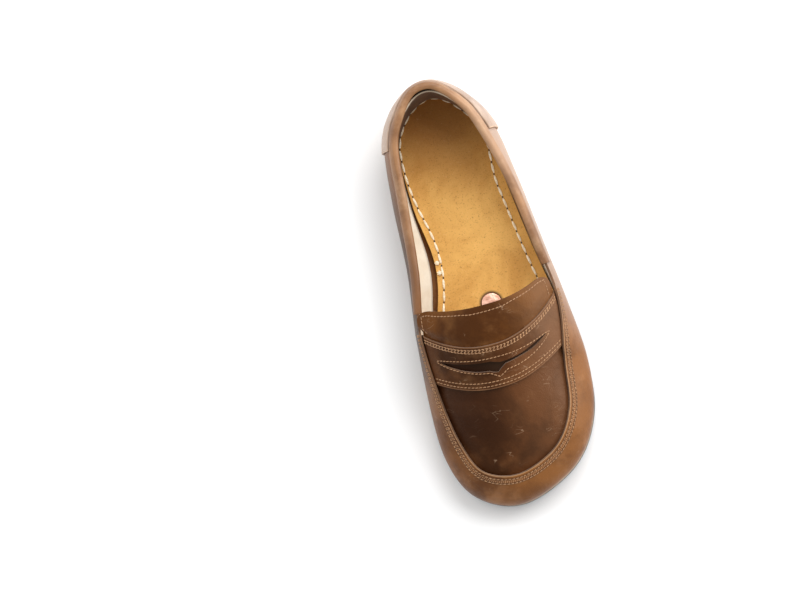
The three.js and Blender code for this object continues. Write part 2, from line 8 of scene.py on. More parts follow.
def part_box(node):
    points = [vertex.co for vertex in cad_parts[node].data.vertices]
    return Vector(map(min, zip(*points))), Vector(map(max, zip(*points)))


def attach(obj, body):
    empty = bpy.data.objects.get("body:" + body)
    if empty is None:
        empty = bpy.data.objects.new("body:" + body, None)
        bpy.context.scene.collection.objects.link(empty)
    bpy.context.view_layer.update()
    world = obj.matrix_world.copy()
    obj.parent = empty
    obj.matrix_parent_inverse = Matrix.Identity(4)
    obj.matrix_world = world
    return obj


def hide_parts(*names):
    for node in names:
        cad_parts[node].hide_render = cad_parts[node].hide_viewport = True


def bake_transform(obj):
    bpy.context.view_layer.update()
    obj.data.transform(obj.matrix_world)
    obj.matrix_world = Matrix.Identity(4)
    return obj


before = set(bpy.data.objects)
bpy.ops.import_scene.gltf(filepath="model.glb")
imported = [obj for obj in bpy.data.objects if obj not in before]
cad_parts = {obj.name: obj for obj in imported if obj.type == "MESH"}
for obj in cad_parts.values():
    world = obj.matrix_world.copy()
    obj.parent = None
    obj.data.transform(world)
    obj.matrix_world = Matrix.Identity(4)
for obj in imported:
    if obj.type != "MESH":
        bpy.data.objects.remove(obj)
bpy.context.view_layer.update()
bpy.ops.object.select_all(action="DESELECT")
mm = 0.001

# the last, station by station, from the back of the heel down the outer side to the toe and back:
# feather x, y, rim x, y, z, how far the wall bulges, and how much it rolls over at the rim
stations = np.array([
    (4.5, 122.1, 5.5, 122.5, 58, 3.4, 0),
    (17.6, 112.2, 19.3, 108.3, 57, 3.6, 0),
    (29.3, 92, 26.6, 91, 53, 3.8, 0),
    (33.8, 56, 35.2, 56, 46, 5.2, 0),
    (38.8, 16, 40.3, 16, 42, 4.6, 0),
    (45, -22, 44, -21, 37.5, 2.8, 0.55),
    (47.5, -58, 37.2, -58, 30.5, 2.2, 1),
    (42.5, -91, 32, -86, 27.5, 1.6, 1),
    (24.5, -116.5, 17.5, -106, 26.8, 1.6, 1),
    (-9, -130, -7, -115.3, 26.5, 1.5, 1),
    (-34.8, -120, -27.5, -109, 26.7, 1.6, 1),
    (-46.3, -96, -36.8, -90, 27.3, 1.6, 1),
    (-47.5, -61, -41.5, -61, 30, 1.8, 1),
    (-38.5, -20, -43, -20, 37.5, 7.2, 0.55),
    (-28.7, 18, -36, 18, 42.5, 11.8, 0),
    (-30.5, 60, -31.3, 60, 47, 8, 0),
    (-30, 93.8, -27.6, 93, 53.5, 4.4, 0),
    (-21.3, 111.6, -19.2, 110.3, 57.2, 3.8, 0),
    (-8.3, 121.4, -8.2, 122.4, 58, 3.4, 0),
])
last = {"seamGap": 0.3, "wall": 1.6, "strap": 1.5, "flange": 5.6, "spring": 3.5, "springStart": -45,
        "halfLength": 132}
# the strap's two edges: their middles, and how far their ends reach back on the inner and the outer side
strap = {"back": -37.9, "front": -63.2, "backIn": 18.6, "backOut": 23.5, "frontIn": 13.7, "frontOut": 16.5,
         "curve": 2.2}

rivetLow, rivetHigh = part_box("copper_rivet")
rivet = {"at": (3.0, -10.2), "radius": 6.0, "depth": 1.2, "edge": 0.45}
shift = np.array([(rivetLow[0] + rivetHigh[0]) / 2 / mm - rivet["at"][0],
                  (rivetLow[1] + rivetHigh[1]) / 2 / mm - rivet["at"][1], 0])


def mix(a, b, share):
    return a + (b - a) * share


def smooth(start, end, value):
    u = np.clip((value - start) / (end - start), 0, 1)
    return u * u * (3 - 2 * u)


def around(column, t):  # smooth through the stations, once round as t goes from 0 to 1
    values = stations[:, column]
    count = len(values)
    place = (np.asarray(t, float) % 1) * count
    i = np.floor(place).astype(int) % count
    u = place - np.floor(place)
    a, b, c, d = (values[(i + step) % count] for step in (-1, 0, 1, 2))
    return b + 0.5 * u * (c - a + u * (2 * a - 5 * b + 4 * c - d + u * (3 * (b - c) + d - a)))


def outward(t):
    step = 1e-4
    dx = around(0, t + step) - around(0, t - step)
    dy = around(1, t + step) - around(1, t - step)
    long = np.hypot(dx, dy)
    return np.stack([-dy / long, dx / long, np.zeros_like(long)], -1)


fine = np.linspace(0.4, 0.6, 4001)
toeT = fine[np.argmin(around(3, fine))]
toeY = float(around(3, toeT))
sides = {}
for side, fromT, toT in (("out", 0.0, toeT), ("in", 1.0, toeT)):
    ts = np.linspace(fromT, toT, 4000)[::-1]
    ys = np.maximum.accumulate(around(3, ts))
    sides[side] = (ys, ts, around(2, ts), around(4, ts))


def rimAt(side, y):
    return np.interp(y, sides[side][0], sides[side][1])


def edgesAt(y):
    y = np.maximum(y, toeY + 1e-3)
    return [np.interp(y, sides[s][0], sides[s][k]) for k in (2, 3) for s in ("in", "out")]


def topZ(x, y):
    xIn, xOut, zIn, zOut = edgesAt(y)
    share = np.clip((x - xIn) / np.maximum(xOut - xIn, 1e-6), 0, 1)
    crown = mix(20, 32, np.clip((y - toeY) / (strap["back"] - toeY), 0, 1))
    return mix(zIn, zOut, share) + crown / 49.5 ** 2 * (xOut - x) * (x - xIn)


def onTop(x, y, up):
    x, y, up = np.broadcast_arrays(np.asarray(x, float), np.asarray(y, float), np.asarray(up, float))
    sx = topZ(x + 0.5, y) - topZ(x - 0.5, y)
    sy = topZ(x, y + 0.5) - topZ(x, y - 0.5)
    return np.stack([x, y, topZ(x, y) + up * np.sqrt(1 + sx * sx + sy * sy)], -1)


def across(q, y):
    xIn, xOut = edgesAt(y)[:2]
    return mix(xIn, xOut, (q + 1) / 2)


def backEdge(q):
    return strap["back"] + np.where(q < 0, strap["backIn"], strap["backOut"]) * np.abs(q) ** strap["curve"]


def frontEdge(q):
    return strap["front"] + np.where(q < 0, strap["frontIn"], strap["frontOut"]) * np.abs(q) ** strap["curve"]


def sideOf(t):
    return np.where(around(2, t) < 0, -1.0, 1.0)


def edgeSlope(t):
    n = outward(t)
    x, y = around(2, t), around(3, t)
    rise = (topZ(x - n[..., 0] * 2, y - n[..., 1] * 2) - around(4, t)) / 2
    return np.where(y > 0, 1, np.clip(rise, 0.3, 1.2))


def rimPoint(t):
    y = around(3, t)
    starts, stops = backEdge(sideOf(t)), frontEdge(sideOf(t))
    front = 1 - smooth(starts - 1, starts + 5, y)
    over = smooth(stops - 10, stops - 3, y)
    lift = front * (last["wall"] + last["seamGap"] + over * (last["strap"] + last["seamGap"]))
    return np.stack([around(2, t), y, around(4, t) + lift * np.hypot(1, edgeSlope(t))], -1)


def belt(t):  # the wall's upright curve at t: its foot, two handles and its rim
    t = np.asarray(t, float)
    n = outward(t)
    foot = np.stack([around(0, t), around(1, t), np.full_like(t, last["flange"])], -1)
    rim = rimPoint(t)
    belly, roll = around(5, t), around(6, t)
    inset = ((rim - foot) * n).sum(-1)
    upright = (8 * belly - inset) / 6
    over = 0.62 * (belly - inset)
    high = mix(upright, inset + over, roll)
    low = mix(upright, (belly - 0.239 * (inset + over) - 0.043 * inset) / 0.444, roll)
    height = rim[..., 2] - foot[..., 2]
    a = foot + n * low[..., None]
    a[..., 2] += height * mix(0.3, 0.42, roll)
    b = rim + n * (high - inset)[..., None]
    b[..., 2] = mix(foot[..., 2] + height * 0.7, rim[..., 2] - over * edgeSlope(t), roll)
    return foot, a, b, rim


def wallPoint(t, v):
    foot, a, b, rim = belt(t)
    v = np.asarray(v, float)[..., None]
    w = 1 - v
    return w ** 3 * foot + 3 * w * w * v * a + 3 * w * v * v * b + v ** 3 * rim


def wallNormal(t, v):
    step = 5e-4
    along = wallPoint(t + step, v) - wallPoint(t - step, v)
    up = wallPoint(t, np.minimum(1, v + step)) - wallPoint(t, v - step)
    n = np.cross(up, along)
    return n / np.linalg.norm(n, axis=-1, keepdims=True)


def onWall(t, v, off):
    t, v, off = np.broadcast_arrays(np.asarray(t, float), np.asarray(v, float), np.asarray(off, float))
    return wallPoint(t, v) + wallNormal(t, v) * off[..., None]


def wallLength(t):
    line = np.stack([wallPoint(t, np.full_like(np.asarray(t, float), v)) for v in np.linspace(0, 1, 40)])
    return np.linalg.norm(np.diff(line, axis=0), axis=-1).sum(0)


def below(t, drop):  # v at a length down from the rim
    return 1 - drop / wallLength(t)


def place(points):  # from the last's millimetres to the scene, with the toe sprung up
    p = np.array(points, float)
    ahead = np.maximum(0, last["springStart"] - p[..., 1]) / (last["springStart"] + last["halfLength"])
    p[..., 2] += last["spring"] * ahead ** 2
    return (p + shift) * mm


# ---- materials ----
class Wire:  # one output of a shader node, on which sums can be written
    def __init__(self, shader, socket):
        self.shader = shader
        self.socket = socket

    def math(self, operation, *others):
        sockets = dict(enumerate((self, *others)))
        return self.shader.node("ShaderNodeMath", {"operation": operation}, sockets)

    def __add__(self, other):
        return self.math("ADD", other)

    def __sub__(self, other):
        return self.math("SUBTRACT", other)

    def __mul__(self, other):
        return self.math("MULTIPLY", other)

    def __rsub__(self, other):
        return (self * -1) + other

    __radd__ = __add__
    __rmul__ = __mul__


class Shader:
    def __init__(self, name, **uniform):
        self.material = bpy.data.materials.new(name)
        self.material.use_nodes = True
        self.tree = self.material.node_tree
        self.surface = self.tree.nodes["Principled BSDF"]
        self.where = self.node("ShaderNodeTexCoord", {}, {}, "Object")
        for key, value in uniform.items():
            self.put(self.surface.inputs[key.replace("_", " ")], value)

    def put(self, socket, value):
        if isinstance(value, Wire):
            self.tree.links.new(value.socket, socket)
        elif isinstance(value, (tuple, list)) and len(value) == 3 and socket.type == "RGBA":
            socket.default_value = (*value, 1)
        else:
            socket.default_value = value

    def node(self, kind, settings, sockets, output=0):
        made = self.tree.nodes.new(kind)
        for key, value in settings.items():
            setattr(made, key, value)
        for key, value in sockets.items():
            self.put(made.inputs[key], value)
        return Wire(self, made.outputs[output])

    def noise(self, scale, detail=3, rough=0.5, distortion=0, where=None):
        sockets = {"Vector": where or self.where, "Scale": scale, "Detail": detail, "Roughness": rough,
                   "Distortion": distortion}
        return self.node("ShaderNodeTexNoise", {}, sockets, "Fac")

    def stretched(self, factors, turn=(0, 0, 0)):
        return self.node("ShaderNodeMapping", {}, {"Vector": self.where, "Rotation": turn, "Scale": factors})

    def step(self, value, low, high, fromValue=0, toValue=1):
        sockets = {"Value": value, "From Min": low, "From Max": high, "To Min": fromValue, "To Max": toValue}
        return self.node("ShaderNodeMapRange", {"interpolation_type": "SMOOTHSTEP"}, sockets)

    def blend(self, a, b, factor):
        return self.node("ShaderNodeMix", {"data_type": "RGBA"}, {0: factor, 6: a, 7: b}, 2)

    def bump(self, height, strength, distance, normal=None):
        sockets = {"Height": height, "Strength": strength, "Distance": distance}
        if normal:
            sockets["Normal"] = normal
        return self.node("ShaderNodeBump", {}, sockets)

    def feed(self, **inputs):
        for key, value in inputs.items():
            self.put(self.surface.inputs[key.replace("_", " ")], value)

    def places(self):  # x and y on the object, in metres
        return [self.node("ShaderNodeSeparateXYZ", {}, {0: self.where}, axis) for axis in range(2)]

    def sewn(self):  # how far in from the piece's edge, in metres
        uv = self.node("ShaderNodeUVMap", {"uv_map": "sewn"}, {})
        return self.node("ShaderNodeSeparateXYZ", {}, {0: uv})


def leather(name, look):
    s = Shader(name, Coat_Roughness=look["coatRough"], Specular_IOR_Level=look["shine"],
               Specular_Tint=look["tint"])
    blotch = s.noise(look["blotch"], 5, 0.6, 0.4)
    cloud = s.noise(look["blotch"] * 3.1, 4, 0.55)
    colour = s.blend(look["dark"], look["mid"], s.step(blotch, 0.36, 0.62))
    colour = s.blend(colour, look["pale"], s.step(cloud, 0.5, 0.8) * look["pull"])
    veins = s.noise(70, 2, 0.5, 0.8, s.stretched((1, 2.2, 1), (0, 0, 0.7)))
    line = s.step((veins - 0.5).math("ABSOLUTE"), 0.0, 0.014, 1, 0)
    scuff = line * s.step(s.noise(85, 1), 0.62, 0.7)
    hair = s.noise(60, 2, 0.5, 1.5, s.stretched((0.5, 2.8, 1), (0, 0, -0.5)))
    scratch = s.step((hair - 0.5).math("ABSOLUTE"), 0.0, 0.01, 1, 0) * s.step(s.noise(60, 1), 0.6, 0.7)
    colour = s.blend(colour, look["scuff"], (scuff * 0.5 + scratch * 0.38) * look["scuffs"])
    pores = {"Vector": s.where, "Scale": 1500.0}
    grain = s.node("ShaderNodeTexVoronoi", {"feature": "F1"}, pores, "Distance")
    fuzz = s.noise(900, 3, 0.6)
    crease = s.noise(130, 4, 0.6, 1.4)
    soft = s.noise(38, 2)
    normal = s.bump(soft, 0.35, 0.004)
    normal = s.bump(crease, look["crease"], 0.0011, normal)
    normal = s.bump(grain * 0.5 + fuzz * 0.5, look["grain"], 0.00022, normal)
    normal = s.bump(scuff + scratch, 0.25, 0.0001, normal)
    s.colour = s.blend(colour, (0.02, 0.01, 0.005), s.step(fuzz, 0.62, 0.8) * 0.22)
    rough = look["rough"] + (cloud - 0.5) * 0.22 + (scuff + scratch) * 0.12
    coat = look["coat"] + (blotch - 0.5) * 0.15
    s.feed(Base_Color=s.colour, Roughness=rough, Coat_Weight=coat, Normal=normal)
    s.normal = normal
    return s


tanLook = {"dark": (0.1, 0.035, 0.011), "mid": (0.215, 0.082, 0.022), "pale": (0.37, 0.175, 0.075),
           "scuff": (0.62, 0.42, 0.28), "blotch": 22.0, "pull": 0.5, "scuffs": 0.5, "crease": 0.35,
           "grain": 0.5, "rough": 0.42, "coat": 0.08, "coatRough": 0.3, "shine": 0.28,
           "tint": (1, 0.72, 0.48)}
darkLook = dict(tanLook, dark=(0.032, 0.009, 0.002), mid=(0.085, 0.027, 0.007), pale=(0.165, 0.07, 0.026),
                coat=0.03, scuff=(0.45, 0.3, 0.19), pull=0.4, scuffs=0.8, shine=0.22)
# painted sheen: the heel cap's tan leather given pale, pinkish colours for the white reflection on the heel
heelSheenLook = dict(tanLook, dark=(0.3, 0.19, 0.13), mid=(0.46, 0.33, 0.25), pale=(0.66, 0.56, 0.48), scuffs=0.3,
                tint=(1, 0.95, 0.9))


def edged(s, reach, pale):  # a cut edge shows paler leather
    inset = s.sewn()
    fray = s.noise(700, 2) * 0.0004
    rim = s.step(inset + fray, reach, reach + 0.0004, 1, 0)
    s.colour = s.blend(s.colour, pale, rim * 0.75)
    s.feed(Base_Color=s.colour)
    return inset


def paintSideSheen(s, low, high, colour, amount):  # painted sheen: leather lightened towards the outer side, where it catches the light
    s.colour = s.blend(s.colour, colour, s.step(s.places()[0], low, high) * amount)
    s.feed(Base_Color=s.colour)


def sewnRow(s, inset, distance, width, paintedShade):  # the furrow that a row of stitches pulls in the leather: a dent, with painted shadow darkening the leather along it
    furrow = s.step((inset - distance).math("ABSOLUTE"), width * 0.3, width, 1, 0)
    s.colour = s.blend(s.colour, (0.015, 0.008, 0.005), furrow * paintedShade)
    s.normal = s.bump(furrow * -1, 0.7, 0.0006, s.normal)
    s.feed(Base_Color=s.colour, Normal=s.normal)


wallSkin = leather("wallLeather", tanLook)
wallInset = edged(wallSkin, 0.0005, (0.42, 0.25, 0.13))
# the moc seam's two stitch rows, each with painted shadow in its furrow
sewnRow(wallSkin, wallInset, 0.0021, 0.0007, 0.55)
sewnRow(wallSkin, wallInset, 0.0047, 0.0007, 0.55)
x, y = wallSkin.places()
# painted sheen: the wall's outer rear quarter lightened, where it reflects the light
sheen = wallSkin.step(y, -0.055, 0.03) * wallSkin.step(x, 0.0, 0.03)
wallSkin.colour = wallSkin.blend(wallSkin.colour, (0.56, 0.42, 0.33), sheen * 0.58)
# painted shade: the wall's inner waist darkened, where it faces away from the light
paintedShade = wallSkin.step(y, -0.075, -0.02) * wallSkin.step(x, -0.03, -0.042)
wallSkin.colour = wallSkin.blend(wallSkin.colour, (0.045, 0.026, 0.018), paintedShade * 0.85)
wallSkin.feed(Base_Color=wallSkin.colour)
apronSkin = leather("apronLeather", darkLook)
underStrap = apronSkin.sewn()
# painted shadow: the apron darkened nearly to black where it lies under the strap
hidden = apronSkin.step(underStrap, 0.0, 0.002)
apronSkin.colour = apronSkin.blend(apronSkin.colour, (0.004, 0.002, 0.001), hidden * 0.93)
x, y = apronSkin.places()
# painted shade: the apron's inner rear part darkened, where it faces away from the light
apronPaintedShade = apronSkin.step(x, 0.008, -0.026) * apronSkin.step(y, -0.105, -0.07)
apronSkin.colour = apronSkin.blend(apronSkin.colour, (0.022, 0.005, 0.0015), apronPaintedShade * 0.75)
# painted sheen on the apron's outer side
paintSideSheen(apronSkin, -0.02, 0.025, (0.19, 0.09, 0.045), 0.24)
strapSkin = leather("strapLeather", dict(darkLook, mid=(0.1, 0.034, 0.01), pale=(0.2, 0.09, 0.036)))
edged(strapSkin, 0.0004, (0.24, 0.12, 0.06))
# painted sheen on the strap's outer side
paintSideSheen(strapSkin, 0.004, 0.036, (0.27, 0.14, 0.075), 0.34)
tongueSkin = leather("tongueLeather", dict(darkLook, dark=(0.055, 0.016, 0.003), mid=(0.12, 0.04, 0.007),
                                          pale=(0.23, 0.1, 0.032)))
# painted sheen on the tongue's outer side
paintSideSheen(tongueSkin, 0.006, 0.036, (0.28, 0.14, 0.065), 0.28)
bindingSkin = leather("bindingLeather", dict(heelSheenLook, blotch=30.0, dark=(0.19, 0.085, 0.034),
                                            mid=(0.34, 0.17, 0.075), pale=(0.5, 0.31, 0.17), shine=0.45))
x, y = bindingSkin.places()
# painted sheen: the binding lightened on the outer side at the heel, where it catches the light
bindingPaintedSheen = bindingSkin.step(x, 0.01, 0.026) * bindingSkin.step(y, 0.04, 0.085)
bindingSkin.colour = bindingSkin.blend(bindingSkin.colour, (0.6, 0.38, 0.24), bindingPaintedSheen * 0.4)
# painted shade: the binding darkened on the inner side towards the front, where it faces away from the light
bindingPaintedShade = bindingSkin.step(x, -0.015, -0.03) * bindingSkin.step(y, 0.06, 0.02)
bindingSkin.colour = bindingSkin.blend(bindingSkin.colour, (0.15, 0.06, 0.02), bindingPaintedShade * 0.75)
bindingSkin.feed(Base_Color=bindingSkin.colour)
# the heel cap, its pale colours a painted sheen
capSkin = leather("capLeather", heelSheenLook)
edged(capSkin, 0.0006, (0.6, 0.4, 0.26))


def softLeather(name, dark, pale, grain, rough=0.85):
    s = Shader(name, Roughness=rough, Sheen_Weight=0.15)
    cloud = s.noise(45, 4, 0.6)
    fleck = s.noise(700, 3, 0.65)
    colour = s.blend(dark, pale, s.step(cloud, 0.3, 0.7))
    s.colour = s.blend(colour, dark, s.step(fleck, 0.55, 0.75) * 0.5)
    s.normal = s.bump(fleck, grain, 0.0003, s.bump(s.noise(90, 3), 0.3, 0.0012))
    s.feed(Base_Color=s.colour, Normal=s.normal)
    return s


liningSkin = softLeather("liningLeather", (0.76, 0.65, 0.5), (0.9, 0.82, 0.69), 0.4)
# painted shade: the lining darkened towards the heel, inside under the binding
liningPaintedShade = liningSkin.step(liningSkin.places()[1], 0.075, 0.1)
liningSkin.feed(Base_Color=liningSkin.blend(liningSkin.colour, (0.07, 0.035, 0.015), liningPaintedShade * 0.9))
gripEdge = softLeather("gripEdge", (0.75, 0.6, 0.42), (0.92, 0.82, 0.66), 0.4)
gripSkin = softLeather("gripLeather", (0.12, 0.055, 0.02), (0.24, 0.12, 0.045), 0.5, 0.75)
rawSkin = softLeather("rawEdge", (0.42, 0.27, 0.15), (0.62, 0.44, 0.27), 0.9, 0.9)
darkEdge = softLeather("burnishedEdge", (0.09, 0.038, 0.014), (0.22, 0.11, 0.05), 0.6, 0.7)
soleEdge = softLeather("midsoleLeather", (0.36, 0.25, 0.14), (0.6, 0.46, 0.3), 1.0, 0.85)
corkFill = softLeather("corkFiller", (0.2, 0.11, 0.05), (0.45, 0.29, 0.15), 1.0, 0.9)
boardSkin = softLeather("fibreBoard", (0.5, 0.45, 0.36), (0.68, 0.62, 0.5), 0.4, 0.9)


def insoleLeather():
    s = Shader("insoleLeather", Coat_Roughness=0.45, Coat_Weight=0.04, Specular_IOR_Level=0.25)
    x, y = s.places()
    cloud = s.noise(28, 5, 0.62, 0.5)
    colour = s.blend((0.57, 0.285, 0.06), (0.76, 0.43, 0.115), s.step(cloud, 0.3, 0.68))
    heel = s.step(y, 0.045, 0.122)
    colour = s.blend(colour, (0.3, 0.1, 0.006), heel * 0.85)
    speck = s.noise(1100, 3, 0.7)
    colour = s.blend(colour, (0.2, 0.075, 0.01), s.step(speck, 0.55, 0.72) * 0.6)
    colour = s.blend(colour, (0.78, 0.55, 0.3), s.step(speck, 0.4, 0.24) * 0.3)
    # painted shadow: a dark ring round the rivet, for the shade of the recess it sits in
    dx, dy = x - (rivet["at"][0] + shift[0]) * mm, y - (rivet["at"][1] + shift[1]) * mm
    away = (dx * dx + dy * dy).math("SQRT")
    rivetPaintedShadow = s.step(away, 0.0062, 0.0082, 1, 0)
    colour = s.blend(colour, (0.03, 0.012, 0.005), rivetPaintedShadow * 0.9)
    normal = s.bump(speck, 0.45, 0.00025, s.bump(s.noise(60, 3), 0.25, 0.0015))
    s.feed(Base_Color=colour, Roughness=0.5 + (cloud - 0.5) * 0.2, Normal=normal)
    return s


insoleSkin = insoleLeather()


def rubberSkin():
    s = Shader("soleRubber", Roughness=0.7)
    fleck = s.noise(500, 3, 0.6)
    colour = s.blend((0.012, 0.011, 0.01), (0.03, 0.027, 0.025), fleck)
    s.feed(Base_Color=colour, Normal=s.bump(fleck, 0.5, 0.0004))
    return s


def copperSkin():
    s = Shader("copper", Metallic=1.0)
    cloud = s.noise(180, 4, 0.6)
    dent = s.noise(420, 2)
    colour = s.blend((0.62, 0.3, 0.2), (0.9, 0.56, 0.44), s.step(cloud, 0.3, 0.7))
    s.feed(Base_Color=colour, Roughness=s.step(cloud, 0.2, 0.8, 0.28, 0.5), Normal=s.bump(dent, 0.4, 0.0006))
    return s


def threadSkin(name, dark, pale):
    s = Shader(name, Roughness=0.6, Sheen_Weight=0.2)
    twist = s.noise(1600, 2, 0.6, 0, s.stretched((1, 0.5, 1), (0, 0, 0.8)))
    s.feed(Base_Color=s.blend(dark, pale, s.step(twist, 0.35, 0.65)), Normal=s.bump(twist, 0.6, 0.0003))
    return s


rubber = rubberSkin()
copper = copperSkin()
creamThread = threadSkin("waxedThread", (0.78, 0.64, 0.42), (1.0, 0.92, 0.74))
brownThread = threadSkin("brownThread", (0.24, 0.115, 0.045), (0.46, 0.245, 0.11))
# painted shadow: the dark colour of the needle holes
holeShadowSkin = threadSkin("needleHoleShadow", (0.012, 0.007, 0.004), (0.03, 0.017, 0.01))
print("materials made")


# ---- meshes ----
def makeObject(name, points, faces, shaders, sewn=None):
    mesh = bpy.data.meshes.new(name)
    mesh.from_pydata(points.tolist(), [], faces.tolist() if hasattr(faces, "tolist") else faces)
    if sewn is not None:
        layer = mesh.uv_layers.new(name="sewn")
        corners = np.zeros(len(mesh.loops), int)
        mesh.loops.foreach_get("vertex_index", corners)
        layer.data.foreach_set("uv", np.repeat(sewn[corners] * mm, 2).astype(np.float32))
    for shader in shaders:
        mesh.materials.append(shader.material)
    made = bpy.data.objects.new(name, mesh)
    bpy.context.scene.collection.objects.link(made)
    return made


def pick(obj):
    bpy.ops.object.select_all(action="DESELECT")
    obj.select_set(True)
    bpy.context.view_layer.objects.active = obj


def thicken(obj, thickness, edge, rimSlot=0, weld=False):  # leather's thickness, with its edges eased
    pick(obj)
    if weld:
        join = obj.modifiers.new("weld", "WELD")
        join.merge_threshold = 1e-6
        bpy.ops.object.modifier_apply(modifier="weld")
    solid = obj.modifiers.new("thickness", "SOLIDIFY")
    solid.thickness = thickness * mm
    solid.offset = -1
    solid.material_offset_rim = rimSlot
    bpy.ops.object.modifier_apply(modifier="thickness")
    if edge:
        ease = obj.modifiers.new("edge", "BEVEL")
        ease.limit_method = "ANGLE"
        ease.angle_limit = math.radians(55)
        ease.width = edge * mm
        ease.segments = 2
        bpy.ops.object.modifier_apply(modifier="edge")
    bpy.ops.object.shade_smooth()
    return obj


def grid(name, rows, shaders, sewn=None, closed=False, flip=False):
    count, columns = rows.shape[:2]
    i = np.arange(count if closed else count - 1)[:, None]
    j = np.arange(columns - 1)[None, :]
    k = (i + 1) % count
    a, b, c, d = i * columns + j, k * columns + j, k * columns + j + 1, i * columns + j + 1
    faces = np.stack([a, d, c, b] if flip else [a, b, c, d], -1).reshape(-1, 4)
    flat = None if sewn is None else sewn.ravel()
    return makeObject(name, place(rows).reshape(-1, 3), faces, shaders, flat)


def lineLength(points):
    steps = np.linalg.norm(np.diff(points, axis=0), axis=-1)
    return np.concatenate([[0], np.cumsum(steps)])


ringCount = 640
ringT = np.arange(ringCount) / ringCount


def keep(obj, body, slot, *nodes):
    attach(obj, body)
    if nodes:
        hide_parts(*nodes)


# wall: one piece round the toe and sides, its raw edge lapped over the apron
wall = {"rows": 46, "turnedIn": 5.0, "edge": 0.35}
shares = 1 - (1 - np.linspace(0, 1, wall["rows"])) ** 1.25
tt, vv = np.meshgrid(ringT, shares, indexing="ij")
body = onWall(tt, vv, 0)
turned = body[:, :1] - outward(ringT)[:, None] * wall["turnedIn"]
rows = np.concatenate([turned, body], 1)
length = wallLength(ringT)
inset = np.concatenate([np.full((ringCount, 1), 90.0), (1 - shares)[None] * length[:, None]], 1)
wallEnd = backEdge(sideOf(ringT))[:, None]
inFront = smooth(wallEnd + 6, wallEnd + 1, rows[:, -1:, 1])
inset = mix(np.maximum(inset, 9), inset, inFront)
wallPiece = grid("wall", rows, [wallSkin, darkEdge], inset, True, True)
thicken(wallPiece, last["wall"], wall["edge"], 1)
keep(wallPiece, "shoe", "tan_leather", "vamp_quarters")

# the topline binding's sizes; the lining ends where the binding does
binding = {"endIn": -7, "endOut": 2, "outside": 4.5, "inside": 5.0, "out": 0.9, "in": 3.5, "crest": 1.7,
           "thickness": 0.8}

# quarter lining, with a pocket for the counter and the puff
lining = {"depth": 2.2, "thickness": 0.9, "pocket": 1.5, "counterReach": 70, "puffReach": -96}


def liningTop(t):
    ends = np.where(sideOf(t) < 0, binding["endIn"], binding["endOut"])
    return 1 - smooth(ends + 7, ends, around(3, t)) * 11 / wallLength(t)


def pocketAt(t, v):
    y = around(3, t)
    at = np.maximum(smooth(lining["counterReach"] - 24, lining["counterReach"] - 4, y),
                    smooth(lining["puffReach"] + 22, lining["puffReach"] + 6, y))
    return lining["pocket"] * at * smooth(0, 0.2, v) * smooth(0.87, 0.72, v)


upTo = liningTop(ringT)
vv = np.linspace(0.02, 1, 30)[None] * upTo[:, None]
tt = np.broadcast_to(ringT[:, None], vv.shape)
rows = onWall(tt, vv, -lining["depth"] - lining["thickness"] - pocketAt(tt, vv))
liningPiece = thicken(grid("quarterLining", rows, [liningSkin], None, True), lining["thickness"], 0)
keep(liningPiece, "shoe", "cream_leather", "quarter_lining")


# apron and vamp lining: rings from under the wall's edge to the middle
apron = {"thickness": 1.4, "edge": 0.3, "sink": 0.5}
underApron = {"depth": 1.8, "thickness": 0.9}


def topSheet(name, depth, shaders, dip):
    t = ringT[around(3, ringT) < frontEdge(sideOf(ringT)) + 1]
    side, count = 0.86, 60
    q = np.concatenate([[-side], np.linspace(-side, side, count), [side]])
    backY = backEdge(q) - 2.5
    backY[0], backY[-1] = frontEdge(-1) + 2, frontEdge(1) + 2
    back = np.stack([across(q, backY), backY], -1)
    plan = np.concatenate([np.stack([around(2, t), around(3, t)], -1), back])
    middle = np.array([0, (toeY + strap["back"]) / 2])
    rings = []
    for far in (8, 6, 4, 2):
        wallSide = onWall(t, below(t, far), -(last["wall"] + 0.6 + depth))
        out = middle + (back - middle) * (1 + far * 0.004)
        rings.append(np.concatenate([wallSide, onTop(out[:, 0], out[:, 1], -depth)]))
    for r in np.concatenate([[0.975], np.linspace(0.94, 0.04, 30)]):
        at = middle + (plan - middle) * r
        sink = dip * np.concatenate([np.full(len(t), smooth(0.8, 1, r)), np.zeros(len(back))])
        rings.append(onTop(at[:, 0], at[:, 1], -depth - sink))
    rows = np.array(rings)
    count, columns = rows.shape[:2]
    i, j = np.arange(count - 1)[:, None], np.arange(columns)[None]
    k = (j + 1) % columns
    low, high = i * columns, (i + 1) * columns
    quads = np.stack([low + j, low + k, high + k, high + j], -1).reshape(-1, 4)
    points = np.concatenate([rows.reshape(-1, 3), onTop(middle[0], middle[1], -depth)[None]])
    tip = count * columns
    innermost = (count - 1) * columns
    fan = [[innermost + a, innermost + (a + 1) % columns, tip] for a in range(columns)]
    q = (points[:, 0] - across(0, points[:, 1])) / (across(1, points[:, 1]) - across(0, points[:, 1]))
    under = points[:, 1] - frontEdge(np.clip(q, -1, 1))
    made = makeObject(name, place(points), quads.tolist() + fan, shaders, under)
    pick(made)
    bpy.ops.object.mode_set(mode="EDIT")
    bpy.ops.mesh.select_all(action="SELECT")
    bpy.ops.mesh.normals_make_consistent(inside=False)
    bpy.ops.object.mode_set(mode="OBJECT")
    if made.data.polygons[0].normal.z < 0:
        made.data.flip_normals()
    return made


apronPiece = topSheet("apron", 0, [apronSkin, darkEdge], apron["sink"])
thicken(apronPiece, apron["thickness"], apron["edge"])
keep(apronPiece, "shoe", "dark_leather", "apron")
vampLining = topSheet("vampLining", underApron["depth"], [liningSkin], apron["sink"])
thicken(vampLining, underApron["thickness"], 0)
keep(vampLining, "shoe", "cream_leather", "vamp_lining")


